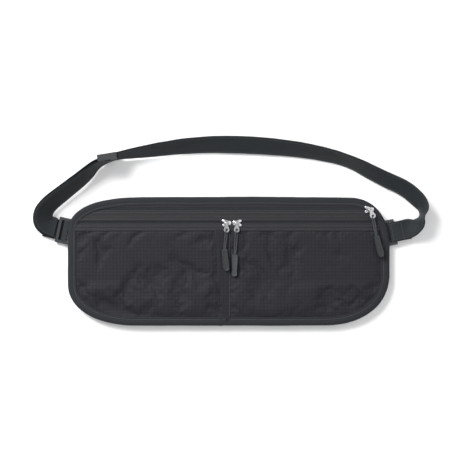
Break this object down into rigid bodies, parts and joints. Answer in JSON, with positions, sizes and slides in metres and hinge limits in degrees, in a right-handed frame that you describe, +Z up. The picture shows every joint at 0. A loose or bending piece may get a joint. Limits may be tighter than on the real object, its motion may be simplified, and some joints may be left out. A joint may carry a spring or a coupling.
{
  "type": "money belt",
  "caption": "Flat waist pouch with a zipped rear pocket and two zipped front pockets, on an adjustable webbing strap with a buckle.",
  "frame": {"origin": "under the middle of the pouch, on the surface its back rests on", "axes": "+Z up out of the front of the pouch, +X along the zips towards the ring end, +Y towards the strap"},
  "size_m": [0.3827, 0.1816, 0.0263],
  "materials": {
    "ripstop": "matt ripstop nylon with a fine grid",
    "lining": "plain woven nylon",
    "binding": "grosgrain binding tape",
    "webbing": "woven elastic webbing",
    "zip_tape": "woven zip tape",
    "coil": "nylon coil",
    "slider_metal": "dull nickel plate",
    "cord": "braided cord",
    "grip": "moulded satin rubber",
    "plastic": "moulded acetal, satin gloss"
  },
  "bodies": {
    "pouch": {"back_panel": "lining", "pocket_divider": "lining", "front_top_strip": "ripstop", "front_middle_strip": "ripstop", "centre_strip": "ripstop", "front_panel_left": "ripstop", "front_panel_right": "ripstop", "edge_binding": "binding", "upper_zip_tape": "zip_tape", "upper_zip_coil": "coil", "lower_zip_tape": "zip_tape", "lower_zip_coil": "coil", "zip_stops": "slider_metal", "buckle_male": "plastic", "buckle_female": "plastic", "buckle_tab": "webbing", "strap_ring": "plastic", "ring_tab": "webbing", "strap_main": "webbing", "strap_adjuster": "webbing", "strap_return": "webbing", "strap_end_left": "webbing", "strap_end_right": "webbing"},
    "upper_slider": {"upper_slider": "slider_metal"},
    "upper_puller": {"upper_puller": "slider_metal"},
    "upper_pull": {"upper_pull_cord": "cord", "upper_pull_grip": "grip"},
    "left_slider": {"left_slider": "slider_metal"},
    "left_puller": {"left_puller": "slider_metal"},
    "left_pull": {"left_pull_cord": "cord", "left_pull_grip": "grip"},
    "right_slider": {"right_slider": "slider_metal"},
    "right_puller": {"right_puller": "slider_metal"},
    "right_pull": {"right_pull_cord": "cord", "right_pull_grip": "grip"},
    "prong_upper": {"buckle_prong_upper": "plastic"},
    "prong_lower": {"buckle_prong_lower": "plastic"},
    "tri_glide": {"tri_glide": "plastic", "strap_sewn_loop": "webbing"}
  },
  "joints": [
    {"name": "upper_zip_slide", "type": "slide", "parent": "pouch", "child": "upper_slider", "axis": [-1, 0, 0], "range_m": [0, 0.27]},
    {"name": "upper_puller_swing", "type": "hinge", "parent": "upper_slider", "child": "upper_puller", "pos_m": [0.1395, 0.05165, 0.0142], "axis": [-1, 0, 0], "range_deg": [0, 110]},
    {"name": "upper_cord_swing", "type": "hinge", "parent": "upper_puller", "child": "upper_pull", "pos_m": [0.1395, 0.04415, 0.0142], "axis": [-1, 0, 0], "range_deg": [0, 60]},
    {"name": "left_zip_slide", "type": "slide", "parent": "pouch", "child": "left_slider", "axis": [-1, 0, 0], "range_m": [0, 0.135]},
    {"name": "left_puller_swing", "type": "hinge", "parent": "left_slider", "child": "left_puller", "pos_m": [-0.0027, 0.03825, 0.01155], "axis": [-1, 0, 0], "range_deg": [0, 110]},
    {"name": "left_cord_swing", "type": "hinge", "parent": "left_puller", "child": "left_pull", "pos_m": [-0.0027, 0.03075, 0.01155], "axis": [-1, 0, 0], "range_deg": [0, 60]},
    {"name": "right_zip_slide", "type": "slide", "parent": "pouch", "child": "right_slider", "axis": [1, 0, 0], "range_m": [0, 0.13]},
    {"name": "right_puller_swing", "type": "hinge", "parent": "right_slider", "child": "right_puller", "pos_m": [0.0076, 0.03825, 0.01155], "axis": [-1, 0, 0], "range_deg": [0, 110]},
    {"name": "right_cord_swing", "type": "hinge", "parent": "right_puller", "child": "right_pull", "pos_m": [0.0076, 0.03075, 0.01155], "axis": [-1, 0, 0], "range_deg": [0, 60]},
    {"name": "prong_upper_squeeze", "type": "hinge", "parent": "pouch", "child": "prong_upper", "pos_m": [-0.15281, 0.03668, 0.0028], "axis": [0, 0, -1], "range_deg": [0, 7], "stiffness_Nm_per_rad": 0.35},
    {"name": "prong_lower_squeeze", "type": "hinge", "parent": "pouch", "child": "prong_lower", "pos_m": [-0.15643, 0.01966, 0.0028], "axis": [0, 0, 1], "range_deg": [0, 7], "stiffness_Nm_per_rad": 0.35},
    {"name": "tri_glide_slide", "type": "slide", "parent": "pouch", "child": "tri_glide", "axis": [0.9872, 0.1596, 0], "range_m": [0, 0.024]}
  ],
  "couplings": [
    {"joint": "prong_lower_squeeze", "follows": "prong_upper_squeeze", "ratio": 1}
  ]
}
